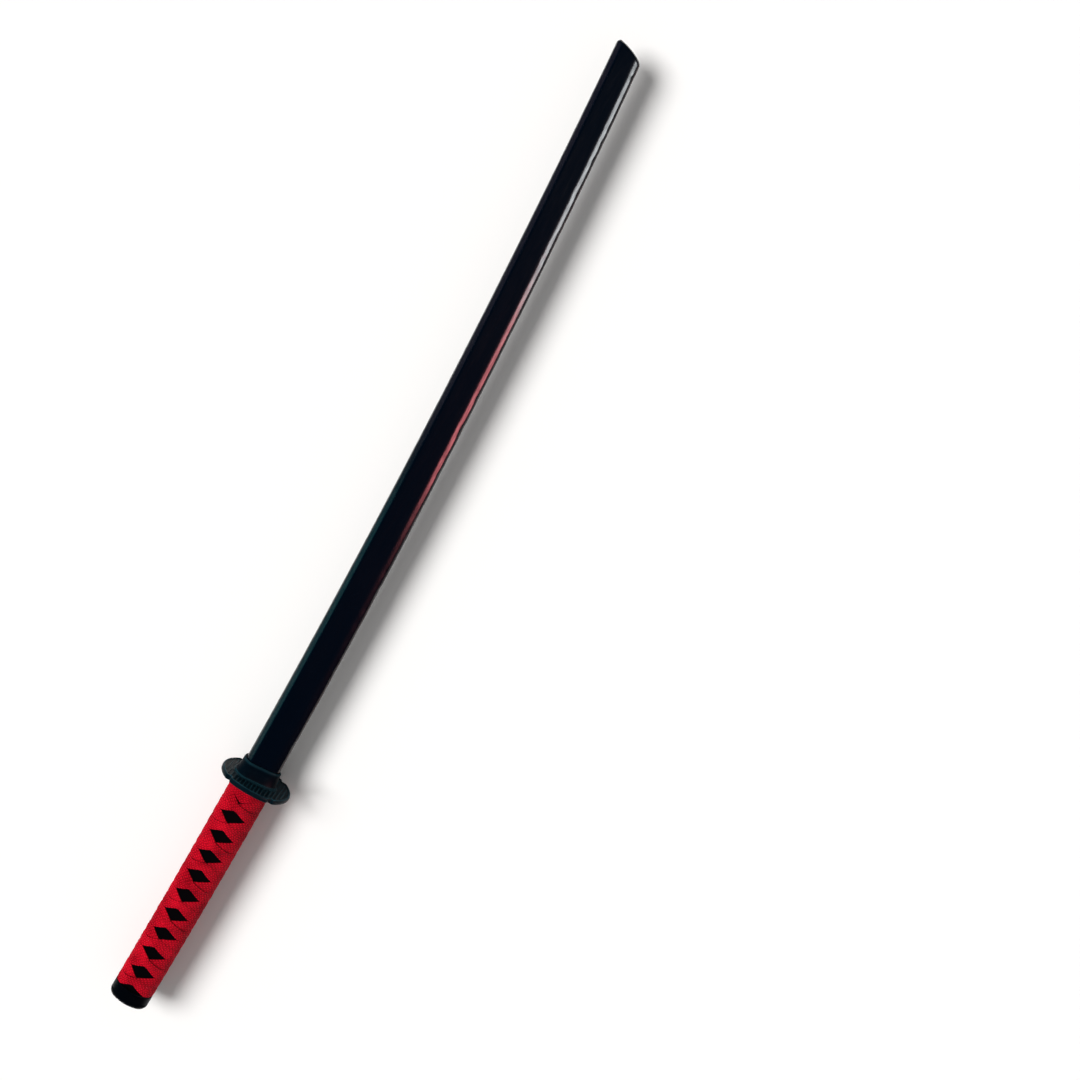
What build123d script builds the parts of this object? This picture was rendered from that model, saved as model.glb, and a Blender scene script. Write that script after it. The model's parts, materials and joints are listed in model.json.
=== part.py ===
from build123d import *
import os
from math import cos, degrees, hypot, sin, sqrt

# A full-size wooden practice sword, lying flat on its side.
# Frame, in millimetres: the origin is the centre of the guard seat, +X runs towards the tip,
# +Y towards the spine (the inside of the curve), and +Z out of the upper face.
# The centreline is one circular arc, and every place along it is given as an arc length:
# positive towards the tip, negative down the handle.

# ---- driving dimensions ----
CURVE_RADIUS = 10400.0

BLADE_LENGTH = 760.0
BASE_WIDTH = 34.5
TIP_WIDTH = 27.0
TAPER_POWER = 1.5           # the width tapers slowly at first, then faster
BASE_THICKNESS = 22.0
TIP_THICKNESS = 17.0
BASE_RIDGE = 6.7            # spine to ridge line, across the blade
TIP_RIDGE = 6.2
BASE_EDGE_RADIUS = 6.5
TIP_EDGE_RADIUS = 5.0
SPINE_FLAT_SHARE = 0.52     # width of the spine's roof over the blade's thickness
SPINE_PEAK = 0.9            # height of the spine's roof
TIP_CUT_RAKE = 12.9         # how much further the spine corner of the tip reaches
TIP_EASE = 1.6              # rounding of the cut end
BLADE_SECTIONS = 6

HANDLE_LENGTH = 260.7
CORE_WIDTH = 34.7
CORE_THICKNESS = 24.4
CROWN_RADIUS = 24.0         # radius of the core's broad faces

UNDERLAY = 0.8              # thickness of the dark cloth under the cord
CORD_THICKNESS = 1.6
CORD_WIDTH = 11.6
CROSSING_WIDTH = 8.6        # the cord is pulled narrower where it crosses
DIAMOND_HALF_WIDTH = 12.85
LEAD_TURN = 5.3             # part of the straight first turn that stays visible
LEAD_GAP = 0.4              # between the first turn and the first crossing, at the middle
BRIDGE_SHARE = 1.3          # how far the upper strand is raised past the lower one

COLLAR_HEIGHT = 6.7
COLLAR_PROUD = 0.3
CAP_HEIGHT = 18.0
CAP_END = 3.5
CAP_ROUNDING = 6.0

GUARD_THICKNESS = 5.0
GUARD_HALF_WIDTH = 35.5     # along Y, centre to side lobe
GUARD_HALF_DEPTH = 33.2     # along Z, centre to face lobe
GUARD_OFFSET = 1.7          # how far its centre lies from the centreline, towards the edge
NOTCH_ACROSS = 23.0         # places of the notch centres, along Y and Z
NOTCH_UP = 28.0
NOTCH_RADIUS = 2.4
RIM_WIDTH = 2.8
FIELD_DEPTH = 0.8
LAND_MARGIN = 1.0           # plain land that shows round the stopper
RIB_PITCH = 3.6
RIB_WIDTH = 1.0
RIB_HEIGHT = 0.5

STOPPER_HEIGHT = 16.0
STOPPER_TOP_WALL = 2.1
STOPPER_BASE_WALL = 3.6
STOPPER_LIP_WALL = 4.4
STOPPER_LIP = 1.5           # height of the straight lip at its base
STOPPER_ROUNDING = 0.9

SLOT_CLEARANCE = 0.3        # guard and stopper slots, all round the blade

# ---- sizes that follow ----
CORD_START = COLLAR_HEIGHT
CORD_END = HANDLE_LENGTH - CAP_HEIGHT
WRAP_LENGTH = CORD_END - CORD_START
TURNS = 2 * round((WRAP_LENGTH - LEAD_TURN) / (2 * CORD_WIDTH))
TURN = (WRAP_LENGTH - LEAD_TURN) / TURNS
FIRST_CROSSING = -(CORD_START + LEAD_TURN + TURN)
CORD_INSIDE = UNDERLAY
CORD_OUTSIDE = UNDERLAY + CORD_THICKNESS
CROSSING_OUTSIDE = UNDERLAY + 2 * CORD_THICKNESS
REACH = CORE_WIDTH           # well outside the handle, across it
CURVE_AXIS = Axis((0, CURVE_RADIUS, 0), (0, 0, 1))


def place(s, across=0.0):
    """Point at arc length s, moved across towards the spine."""
    turn = s / CURVE_RADIUS
    radius = CURVE_RADIUS - across
    return (radius * sin(turn), CURVE_RADIUS - radius * cos(turn))


def station(s):
    """Plane across the centreline: its x points to the spine and its y along +Z."""
    turn = s / CURVE_RADIUS
    return Plane(origin=(*place(s), 0), x_dir=(-sin(turn), cos(turn), 0), z_dir=(cos(turn), sin(turn), 0))


def carry(face, start, end):
    """Solid swept by a section from one arc length to another, round the centre of the curve."""
    return revolve(station(start) * face, CURVE_AXIS, degrees((end - start) / CURVE_RADIUS))


def oval(grow=0.0):
    """Handle section: two crowned faces joined by tangent side arcs, grown evenly all round."""
    half_width = CORE_WIDTH / 2 + grow
    half_depth = CORE_THICKNESS / 2 + grow
    crown = CROWN_RADIUS + grow
    side = (half_width**2 + half_depth**2 - 2 * crown * half_depth) / (2 * (half_width - crown))
    side_centre = half_width - side
    crown_centre = half_depth - crown
    lean = hypot(side_centre, crown_centre)
    tx = crown * side_centre / lean
    ty = crown_centre - crown * crown_centre / lean
    outline = [
        ThreePointArc((-tx, ty), (0, half_depth), (tx, ty)),
        ThreePointArc((tx, ty), (half_width, 0), (tx, -ty)),
        ThreePointArc((tx, -ty), (0, -half_depth), (-tx, -ty)),
        ThreePointArc((-tx, -ty), (-half_width, 0), (-tx, ty)),
    ]
    return make_face(outline)


def blade_section(s):
    """Blade section: peaked spine, ridge line, flat faces and a round edge, tapering to the tip."""
    share = s / BLADE_LENGTH
    half_width = (BASE_WIDTH + (TIP_WIDTH - BASE_WIDTH) * share**TAPER_POWER) / 2
    half_depth = (BASE_THICKNESS + (TIP_THICKNESS - BASE_THICKNESS) * share) / 2
    ridge = half_width - (BASE_RIDGE + (TIP_RIDGE - BASE_RIDGE) * share)
    edge_radius = BASE_EDGE_RADIUS + (TIP_EDGE_RADIUS - BASE_EDGE_RADIUS) * share
    spine_half = SPINE_FLAT_SHARE * half_depth
    shoulder = half_width - SPINE_PEAK
    centre = edge_radius - half_width
    # tangent from the ridge point to the edge's circle
    away = hypot(ridge - centre, half_depth)
    along = edge_radius**2 / away
    off = edge_radius * sqrt(away**2 - edge_radius**2) / away
    ux = (ridge - centre) / away
    uy = half_depth / away
    tx = centre + along * ux - off * uy
    ty = along * uy + off * ux
    outline = [
        Line((half_width, 0), (shoulder, spine_half)),
        Line((shoulder, spine_half), (ridge, half_depth)),
        Line((ridge, half_depth), (tx, ty)),
        ThreePointArc((tx, ty), (-half_width, 0), (tx, -ty)),
        Line((tx, -ty), (ridge, -half_depth)),
        Line((ridge, -half_depth), (shoulder, -spine_half)),
        Line((shoulder, -spine_half), (half_width, 0)),
    ]
    return make_face(outline)


def slot(start, end):
    """Clearance hole for the blade through a ring on it."""
    return carry(offset(blade_section(0), SLOT_CLEARANCE), start - 1, end + 1)


# ---- wooden body: blade and handle core in one piece ----
def make_sword_body():
    reach = BLADE_LENGTH * 1.02
    stations = [reach * i / (BLADE_SECTIONS - 1) for i in range(BLADE_SECTIONS)]
    blade = loft([station(s) * blade_section(s) for s in stations])
    spine_corner = place(BLADE_LENGTH, TIP_WIDTH / 2)
    edge_corner = place(BLADE_LENGTH - TIP_CUT_RAKE, -TIP_WIDTH / 2)
    slope = ((spine_corner[0] - edge_corner[0]) / TIP_WIDTH, (spine_corner[1] - edge_corner[1]) / TIP_WIDTH)
    span = 3 * TIP_WIDTH
    low = (edge_corner[0] - slope[0] * span, edge_corner[1] - slope[1] * span)
    high = (spine_corner[0] + slope[0] * span, spine_corner[1] + slope[1] * span)
    beyond = 4 * span
    cutter = make_face(Polyline(low, high, (high[0] + beyond, high[1]), (low[0] + beyond, low[1]), close=True))
    blade -= extrude(cutter, BASE_THICKNESS, both=True)
    cut_face = blade.faces().sort_by(Axis.X)[-1]
    blade = chamfer(cut_face.edges(), TIP_EASE)
    core = carry(oval(), -(HANDLE_LENGTH - CAP_END), 0)
    return blade + core


# ---- handle fittings ----
def make_handle_collar():
    collar = carry(oval(CORD_OUTSIDE + COLLAR_PROUD), -COLLAR_HEIGHT, 0)
    return collar - carry(oval(), -COLLAR_HEIGHT - 1, 1)


def make_pommel_cap():
    cap = carry(oval(CORD_OUTSIDE), -HANDLE_LENGTH, -CORD_END)
    butt = cap.faces().sort_by(Axis.X)[0]
    cap = fillet(butt.edges(), CAP_ROUNDING)
    return cap - carry(oval(), -(HANDLE_LENGTH - CAP_END), -CORD_END + 1)


def half_space(side):
    """Section mask of the upper (side 1) or lower (side -1) half."""
    return Pos(0, side * REACH) * Rectangle(2 * REACH, 2 * REACH)


def make_underlay(side):
    layer = (oval(UNDERLAY) - oval()) & half_space(side)
    return carry(layer, -CORD_END, -CORD_START)


# ---- grip cord: one flat cord whose two halves cross on both faces ----
def plan(points):
    """Flat region from (arc length, across) corners."""
    return make_face(Polyline(*[place(s, across) for s, across in points], close=True))


def strand_run(centre, hand):
    """A strand's whole run over one face; hand 1 starts on the spine side, nearer the guard."""
    half = CROSSING_WIDTH / 2
    wide = DIAMOND_HALF_WIDTH
    corners = [
        (TURN, REACH),
        (TURN, wide),
        (half, 0),
        (0, -wide),
        (0, -REACH),
        (-TURN, -REACH),
        (-TURN, -wide),
        (-half, 0),
        (0, wide),
        (0, REACH),
    ]
    return plan([(centre + s, hand * across) for s, across in corners])


def strand_tails(centre, hand):
    """The same run without its middle, where it lies over the other strand."""
    half = CROSSING_WIDTH / 2
    wide = DIAMOND_HALF_WIDTH
    tail = [(TURN, REACH), (TURN, wide), (half, 0), (0, wide), (0, REACH)]
    first = plan([(centre + s, hand * across) for s, across in tail])
    second = plan([(centre - s, -hand * across) for s, across in tail])
    return [first, second]


def strand_bridge(centre, hand):
    """The raised middle of a run, where it lies over the other strand."""
    half = CROSSING_WIDTH / 2
    wide = DIAMOND_HALF_WIDTH
    share = (BRIDGE_SHARE - 1) * half / TURN
    upper = half + (TURN - half) * share
    side = [(half, 0), (upper, share * wide), (0, BRIDGE_SHARE * wide), (0, wide)]
    corners = side + [(-s, -across) for s, across in side]
    return plan([(centre + s, hand * across) for s, across in corners])


def lead_turn(hand):
    """Half of the straight first turn on the upper face, down to the first crossing."""
    low = -(CORD_START + LEAD_TURN)
    corners = [
        (-CORD_START + 1, REACH),
        (-CORD_START + 1, 0),
        (FIRST_CROSSING + CROSSING_WIDTH / 2 + LEAD_GAP, 0),
        (low, DIAMOND_HALF_WIDTH),
        (low, REACH),
    ]
    return plan([(s, hand * across) for s, across in corners])


def make_grip_cord(hand):
    """One half of the cord; hand 1 leaves the collar on the spine side of the upper face."""
    lower = oval(CORD_OUTSIDE) - oval(CORD_INSIDE)
    upper = oval(CROSSING_OUTSIDE) - oval(CORD_OUTSIDE)
    cord = None
    for side in (1, -1):
        layer_one = carry(lower & half_space(side), -CORD_END, -CORD_START)
        layer_two = carry(upper & half_space(side), -CORD_END, -CORD_START)
        flat = [lead_turn(-hand)] if side == 1 else []
        raised = []
        crossings = TURNS // 2 if side == 1 else TURNS // 2 + 1
        for number in range(crossings):
            centre = FIRST_CROSSING - 2 * TURN * number
            if side == -1:
                centre += TURN
            tails_inside = 1 if number == TURNS // 2 else 2
            over = (-1) ** number * hand * side == 1
            if over:
                flat += strand_tails(centre, hand * side)[:tails_inside]
                raised.append(strand_bridge(centre, hand * side))
            else:
                flat.append(strand_run(centre, hand * side))
        for layer, regions in ((layer_one, flat), (layer_two, raised)):
            mask = [extrude(region, side * REACH) for region in regions]
            piece = layer & Compound(mask)
            cord = piece if cord is None else cord + piece
    return cord


# ---- guard ----
def notch_places():
    """Centres of the four round notches, on the diagonals between the lobes."""
    near = NOTCH_ACROSS - GUARD_OFFSET
    far = -NOTCH_ACROSS - GUARD_OFFSET
    return [(near, NOTCH_UP), (far, NOTCH_UP), (far, -NOTCH_UP), (near, -NOTCH_UP)]


def notches(radius):
    return Sketch() + [Pos(across, up) * Circle(radius) for across, up in notch_places()]


def guard_outline():
    """Four broad lobes, each an arc, with a round notch where they meet."""
    corners = notch_places()
    near = GUARD_HALF_WIDTH - GUARD_OFFSET
    far = -GUARD_HALF_WIDTH - GUARD_OFFSET
    crests = [(-GUARD_OFFSET, GUARD_HALF_DEPTH), (far, 0), (-GUARD_OFFSET, -GUARD_HALF_DEPTH), (near, 0)]
    ends = corners[1:] + corners[:1]
    lobes = [ThreePointArc(start, crest, end) for start, crest, end in zip(corners, crests, ends)]
    return make_face(lobes) - notches(NOTCH_RADIUS)


def make_guard():
    guard = carry(guard_outline(), 0, GUARD_THICKNESS)
    land = offset(blade_section(0), STOPPER_LIP_WALL + LAND_MARGIN)
    inside = Pos(-GUARD_OFFSET, 0) * Ellipse(GUARD_HALF_WIDTH - RIM_WIDTH, GUARD_HALF_DEPTH - RIM_WIDTH)
    field = inside - notches(NOTCH_RADIUS + RIM_WIDTH) - land
    guard -= carry(field, GUARD_THICKNESS - FIELD_DEPTH, GUARD_THICKNESS + 1)
    guard -= carry(field, -1, FIELD_DEPTH)
    count = int((GUARD_HALF_WIDTH - RIM_WIDTH) / RIB_PITCH)
    middles = [RIB_PITCH * i - GUARD_OFFSET for i in range(-count, count + 1)]
    ribs = field & Sketch() + [Pos(y, 0) * Rectangle(RIB_WIDTH, 2 * GUARD_HALF_DEPTH) for y in middles]
    guard += carry(ribs, GUARD_THICKNESS - FIELD_DEPTH, GUARD_THICKNESS - FIELD_DEPTH + RIB_HEIGHT)
    guard += carry(ribs, FIELD_DEPTH - RIB_HEIGHT, FIELD_DEPTH)
    return guard - slot(0, GUARD_THICKNESS)


# ---- rubber stopper that holds the guard ----
def make_guard_stopper():
    base = GUARD_THICKNESS
    top = base + STOPPER_HEIGHT
    wide = offset(blade_section(0), STOPPER_BASE_WALL)
    slim = offset(blade_section(0), STOPPER_TOP_WALL)
    lip = carry(offset(blade_section(0), STOPPER_LIP_WALL), base, base + STOPPER_LIP)
    sleeve = loft([station(base + STOPPER_LIP) * wide, station(top) * slim], ruled=True)
    sleeve = fillet(sleeve.faces().sort_by(Axis.X)[-1].edges(), STOPPER_ROUNDING)
    return lip + sleeve - slot(base, top)


parts = {
    "sword_body": make_sword_body(),
    "handle_collar": make_handle_collar(),
    "pommel_cap": make_pommel_cap(),
    "underlay_front": make_underlay(1),
    "underlay_back": make_underlay(-1),
    "grip_cord_first_half": make_grip_cord(1),
    "grip_cord_second_half": make_grip_cord(-1),
    "guard": make_guard(),
    "guard_stopper": make_guard_stopper(),
}

os.makedirs("parts", exist_ok=True)
for name, shape in parts.items():
    shape.label = name
    export_step(shape, f"parts/{name}.step")
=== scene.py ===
"""Looks for a cord-bound wooden practice sword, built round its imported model."""

import json
from math import atan2, cos, hypot, pi, radians, sin, tan, tau

import bpy
import numpy as np
from mathutils import Matrix, Vector


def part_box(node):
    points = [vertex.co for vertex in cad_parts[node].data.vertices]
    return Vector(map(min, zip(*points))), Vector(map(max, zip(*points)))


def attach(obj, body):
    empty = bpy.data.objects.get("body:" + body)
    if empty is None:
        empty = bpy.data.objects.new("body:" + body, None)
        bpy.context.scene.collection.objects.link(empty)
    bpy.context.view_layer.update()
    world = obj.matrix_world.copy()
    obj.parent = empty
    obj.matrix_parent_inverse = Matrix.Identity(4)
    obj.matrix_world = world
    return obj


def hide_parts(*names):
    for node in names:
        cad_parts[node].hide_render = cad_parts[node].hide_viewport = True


bl_info = {
    "name": "Practice Sword",
    "version": (1, 0, 0),
    "blender": (4, 5, 0),
    "location": "View3D > Sidebar > Sword",
    "description": "Builds a lacquered wooden practice sword with a cord-bound handle",
    "category": "Object",
}

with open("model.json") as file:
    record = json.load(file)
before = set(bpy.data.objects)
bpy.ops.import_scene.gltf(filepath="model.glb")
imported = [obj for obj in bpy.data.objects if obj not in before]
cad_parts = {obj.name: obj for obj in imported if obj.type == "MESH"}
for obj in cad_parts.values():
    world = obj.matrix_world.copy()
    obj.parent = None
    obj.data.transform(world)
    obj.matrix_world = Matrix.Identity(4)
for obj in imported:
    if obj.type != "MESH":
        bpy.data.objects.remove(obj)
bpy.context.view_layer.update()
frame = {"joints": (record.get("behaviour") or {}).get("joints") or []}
MM = 0.001

# The centreline is an arc whose centre is the axis that the guard slides round.
CURVE_RADIUS = frame["joints"][0]["pos_m"][1]


def arc_length(x):
    """Arc length at x: the arc's radius times the turn whose sine is x over the radius."""
    return CURVE_RADIUS * float(np.arcsin(x / CURVE_RADIUS))


HANDLE_END = arc_length(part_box("pommel_cap")[0].x)
CAP_RIM = arc_length(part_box("underlay_front")[0].x)
COLLAR_FOOT = arc_length(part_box("handle_collar")[0].x)
GUARD_HALF_WIDTH = (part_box("guard")[1].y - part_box("guard")[0].y) / 2
GUARD_MIDDLE = (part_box("guard")[1].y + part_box("guard")[0].y) / 2
GUARD_HALF_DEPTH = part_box("guard")[1].z
GUARD_TOP = arc_length(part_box("guard")[1].x)
STOPPER_TOP = arc_length(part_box("guard_stopper")[1].x)
FLOOR_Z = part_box("guard")[0].z


# ---- sizes and colours that a user would change ----
def length(name, description, value, unit="LENGTH"):
    """A length in metres with its default."""
    return bpy.props.FloatProperty(
        name=name, description=description, default=value, subtype="DISTANCE", unit=unit, precision=5
    )


def colour(name, description, value):
    return bpy.props.FloatVectorProperty(
        name=name, description=description, default=value, subtype="COLOR", size=3, min=0, max=1
    )


class SwordBlade(bpy.types.PropertyGroup):
    length: length("Length", "Guard seat to tip, along the curve", 760 * MM)
    base_width: length("Base width", "Spine to edge at the guard", 34.5 * MM)
    tip_width: length("Tip width", "Spine to edge at the tip", 27 * MM)
    taper_power: bpy.props.FloatProperty(
        name="Taper power",
        description="1 tapers the width evenly, more tapers it faster at the tip",
        default=1.5,
        subtype="FACTOR",
    )
    base_depth: length("Base thickness", "Ridge to ridge at the guard", 22 * MM)
    tip_depth: length("Tip thickness", "Ridge to ridge at the tip", 17 * MM)
    base_ridge: length("Base ridge", "Spine to ridge line at the guard", 6.7 * MM)
    tip_ridge: length("Tip ridge", "Spine to ridge line at the tip", 6.2 * MM)
    shoulder: length("Edge shoulder", "Radius of the slow turn from the flat face to the edge", 18 * MM)
    spine_peak: length("Spine peak", "Height of the spine's low roof", 0.9 * MM)
    spine_share: bpy.props.FloatProperty(
        name="Spine share", description="Width of the spine over the thickness", default=0.52, subtype="FACTOR"
    )
    rake: length("Tip rake", "How much further the spine corner reaches", 12.9 * MM)
    tip_corner: length("Tip corner", "How far the rounding takes the spine corner back", 2.2 * MM)
    tip_ease: length("Tip easing", "Rounding of the cut end", 2.4 * MM)
    # Painted reflection: the blue in this black stands in for the reflection of a dark blue room, which the world
    # does not give.
    lacquer_and_blue_reflection: colour("Lacquer", "Blue-black gloss lacquer", (0.0002, 0.0022, 0.0060))
    # Painted reflection: this brown along the edge stands in for the reflection of something warm.
    edge_reflection_brown: colour("Painted edge reflection", "Brown that shows through along the edge", (0.036, 0.013, 0.013))


class SwordHandle(bpy.types.PropertyGroup):
    core_width: length("Core width", "Spine to edge", 34.7 * MM)
    core_depth: length("Core thickness", "Face to face", 24.4 * MM)
    crown: length("Crown radius", "Radius of the broad faces", 24 * MM)
    cap_end: length("Cap end", "Thickness of the cap's closed end", 3.5 * MM)
    cap_rounding: length("Cap rounding", "Rounding of the butt", 6 * MM)
    plastic: colour("Moulded plastic", "Guard, collar and cap", (0.0009, 0.0062, 0.0105))
    # Painted highlight: this light teal is mixed into the guard's rim and ribs and the stopper's rim and lip in
    # place of their glints.
    highlight_teal: colour("Painted highlight teal", "Rim and ribs that handling has rubbed", (0.016, 0.075, 0.100))
    butt: colour("Butt cap", "Cap over the end of the handle", (0.0004, 0.0010, 0.0022))
    rubber: colour("Rubber", "Stopper above the guard", (0.0005, 0.0030, 0.0062))
    underlay: colour("Underlay", "Cloth that shows in the diamonds", (0.0006, 0.0006, 0.0009))


class SwordCord(bpy.types.PropertyGroup):
    thickness: length("Thickness", "Thickness of the flat cord", 1.6 * MM)
    width: length("Width", "Width of the flat cord", 11.6 * MM)
    crossing: length("Crossing width", "Width where it is pulled narrow to cross", 8.6 * MM)
    diamond: length("Diamond half width", "Middle of a diamond to its side corner", 12.2 * MM)
    lead: length("First turn", "Part of the straight first turn that shows", 5.3 * MM)
    underlay: length("Underlay", "Thickness of the cloth under the cord", 0.8 * MM)
    shift: length("Crossing shift", "Mean shift of the upper crossings to the spine", 1.6 * MM)
    dye: colour("Dye", "Red of the cord", (0.70, 0.004, 0.020))
    # Painted shade: this deep red darkens the grooves between plaits and stitches, and also gives the uneven dye
    # its darker patches.
    shade: colour("Deep dye and painted shade", "Darker red between the plaits", (0.15, 0.0, 0.003))


# ---- surfaces ----
def on_curve(s, across, up):
    """Points turned round the arc's centre by s over its radius, then moved across towards it and up."""
    s, across, up = np.broadcast_arrays(s, across, up)
    turn = s / CURVE_RADIUS
    reach = CURVE_RADIUS - across
    return np.stack((reach * np.sin(turn), CURVE_RADIUS - reach * np.cos(turn), up), axis=-1)


def smooth_step(low, high, value):
    """0 below low, 1 above high, and 3t squared less 2t cubed between."""
    t = np.clip((value - low) / (high - low), 0, 1)
    return t * t * (3 - 2 * t)


def soften(values, spread, wrap=True, axis=-1):
    """Values averaged with their neighbours under a bell curve, spread samples wide."""
    reach = int(3 * spread) + 1
    steps = np.arange(-reach, reach + 1)
    weights = np.exp(-0.5 * (steps / spread) ** 2)
    weights = weights / weights.sum()
    padding = [(0, 0)] * values.ndim
    padding[axis] = (reach, reach)
    padded = np.pad(values, padding, mode="wrap" if wrap else "edge")
    count = values.shape[axis]
    shifted = [np.take(padded, range(k, k + count), axis=axis) for k in range(2 * reach + 1)]
    return sum(weight * part for weight, part in zip(weights, shifted))


def grid_faces(rows, columns, wrap_rows=False, wrap_columns=True):
    """Quads between neighbouring rows and columns of a grid, joined round where it wraps."""
    i = np.arange(rows if wrap_rows else rows - 1)[:, None]
    j = np.arange(columns if wrap_columns else columns - 1)[None, :]
    down, right = (i + 1) % rows, (j + 1) % columns
    corners = (i * columns + j, i * columns + right, down * columns + right, down * columns + j)
    return np.stack(corners, axis=-1).reshape(-1, 4)


def enclosed(points, quads):
    """Signed volume inside quads: a sixth of each triangle's corners multiplied as a box, summed."""
    a, b, c, d = (points[quads[:, k]] for k in range(4))
    first = np.einsum("ij,ij->i", a, np.cross(b, c))
    second = np.einsum("ij,ij->i", a, np.cross(c, d))
    return (first.sum() + second.sum()) / 6


def add_piece(name, grid, body, material, replaced, wrap_rows=False, poles=True, marks=None, uv=None):
    """A closed piece from a grid of points, with a fan to the middle of each end row, riding on a body."""
    rows, columns = grid.shape[:2]
    points = grid.reshape(-1, 3)
    quads = grid_faces(rows, columns, wrap_rows)
    ends = np.zeros((0, 3), int)
    if not wrap_rows and poles:
        j = np.arange(columns)
        after = (j + 1) % columns
        last = (rows - 1) * columns
        points = np.vstack((points, grid[0].mean(0), grid[-1].mean(0)))
        start_fan = np.stack((after, j, np.full(columns, rows * columns)), axis=-1)
        end_fan = np.stack((last + j, last + after, np.full(columns, rows * columns + 1)), axis=-1)
        ends = np.vstack((start_fan, end_fan))
    if enclosed(points, quads) < 0:
        quads = quads[:, ::-1]
        ends = ends[:, ::-1]
    mesh = bpy.data.meshes.new(name)
    mesh.from_pydata(points, [], quads.tolist() + ends.tolist())
    mesh.update()
    mesh.shade_smooth()
    for mark, values in (marks or {}).items():
        flat = np.zeros(len(points), np.float32)
        flat[: rows * columns] = values.reshape(-1)
        mesh.attributes.new(mark, "FLOAT", "POINT").data.foreach_set("value", flat)
    if uv is not None:
        corner = np.zeros(len(mesh.loops), np.int32)
        mesh.loops.foreach_get("vertex_index", corner)
        places = np.zeros((len(points), 2), np.float32)
        places[: rows * columns] = uv.reshape(-1, 2)
        mesh.uv_layers.new(name="weave").data.foreach_set("uv", places[corner].ravel())
    piece = bpy.data.objects.new(name, mesh)
    bpy.context.scene.collection.objects.link(piece)
    mesh.materials.append(material)
    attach(piece, body)
    if replaced:
        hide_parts(*replaced)
    return piece


# ---- outlines across the sword: x towards the spine, y up ----
FACE_LEAN = radians(12)
SHOULDER_LEAN = radians(34)


def oval_outline(handle, count):
    """Two crowned arcs joined by tangent side arcs: points and outward normals, even from the spine."""
    half_width, half_depth, crown = handle.core_width / 2, handle.core_depth / 2, handle.crown
    side = (half_width**2 + half_depth**2 - 2 * crown * half_depth) / (2 * (half_width - crown))
    side_x, crown_y = half_width - side, half_depth - crown
    meet = atan2(-crown_y, side_x)
    angle = np.linspace(0, tau, 4001)
    on_side = np.abs(np.cos(angle)) > cos(meet)
    radius = np.where(on_side, side, crown)
    x = np.where(on_side, side_x * np.sign(np.cos(angle)), 0) + radius * np.cos(angle)
    y = np.where(on_side, 0, crown_y * np.sign(np.sin(angle))) + radius * np.sin(angle)
    along = np.concatenate(([0], np.cumsum(np.hypot(np.diff(x), np.diff(y)))))
    places = np.linspace(0, along[-1], count, endpoint=False)
    normal = np.interp(places, along, angle)
    points = np.stack((np.interp(places, along, x), np.interp(places, along, y)), axis=-1)
    return points, np.stack((np.cos(normal), np.sin(normal)), axis=-1), along[-1]


def blade_outline(blade, share, count):
    """Peaked spine, ridge, flat face, slow shoulder and round edge at a share of the length, corners eased.

    The flat leans by FACE_LEAN. The shoulder is an arc from there to SHOULDER_LEAN, and the edge an arc from
    there to upright. The flat's length and the edge's radius solve the two sums that close the outline.
    """
    share = np.atleast_1d(share)[:, None]

    def between(base, tip):
        return base + (tip - base) * share

    half_width = (blade.base_width + (blade.tip_width - blade.base_width) * share**blade.taper_power) / 2
    half_depth = between(blade.base_depth, blade.tip_depth) / 2
    ridge = half_width - between(blade.base_ridge, blade.tip_ridge)
    shoulder = between(blade.shoulder, blade.shoulder * blade.tip_depth / blade.base_depth)
    lean, far = FACE_LEAN, SHOULDER_LEAN
    across = ridge + half_width - shoulder * (sin(far) - sin(lean))
    down = half_depth - shoulder * (cos(lean) - cos(far))
    # across = flat cos(lean) + edge (1 - sin(far)), down = flat sin(lean) + edge cos(far)
    scale = cos(lean) * cos(far) - sin(lean) * (1 - sin(far))
    flat = (across * cos(far) - down * (1 - sin(far))) / scale
    edge = (down * cos(lean) - across * sin(lean)) / scale
    # shares of half the outline: roof, spine bevel, flat face, shoulder, round edge
    parts = np.round(np.array((0.12, 0.16, 0.42, 0.13, 0.17)) * count).astype(int)
    parts[2] += count - parts.sum()
    roof, bevel, face, slow, turn = (np.linspace(0, 1, n, endpoint=False)[None, :] for n in parts)
    corner_x, corner_y = half_width - blade.spine_peak, blade.spine_share * half_depth
    face_x, face_y = ridge - flat * cos(lean), half_depth - flat * sin(lean)
    angle = lean + (far - lean) * slow
    turn_x = face_x - shoulder * (sin(far) - sin(lean))
    turn_y = face_y - shoulder * (cos(lean) - cos(far))
    steep = far + (pi / 2 - far) * turn
    x = np.hstack((
        half_width + (corner_x - half_width) * roof,
        corner_x + (ridge - corner_x) * bevel,
        ridge + (face_x - ridge) * face,
        face_x - shoulder * (np.sin(angle) - sin(lean)),
        turn_x - edge * (np.sin(steep) - sin(far)),
    ))
    y = np.hstack((
        corner_y * roof,
        corner_y + (half_depth - corner_y) * bevel,
        half_depth + (face_y - half_depth) * face,
        face_y - shoulder * (cos(lean) - np.cos(angle)),
        turn_y - edge * (cos(far) - np.cos(steep)),
    ))
    x = np.hstack((x, -half_width, x[:, :0:-1]))
    y = np.hstack((y, 0 * half_width, -y[:, :0:-1]))
    return soften(x, 2.2), soften(y, 2.2)


def outward(x, y):
    """Unit normals of a closed outline that runs from +x towards +y."""
    dx = np.roll(x, -1, axis=-1) - np.roll(x, 1, axis=-1)
    dy = np.roll(y, -1, axis=-1) - np.roll(y, 1, axis=-1)
    size = np.hypot(dx, dy)
    return dy / size, -dx / size


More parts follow.
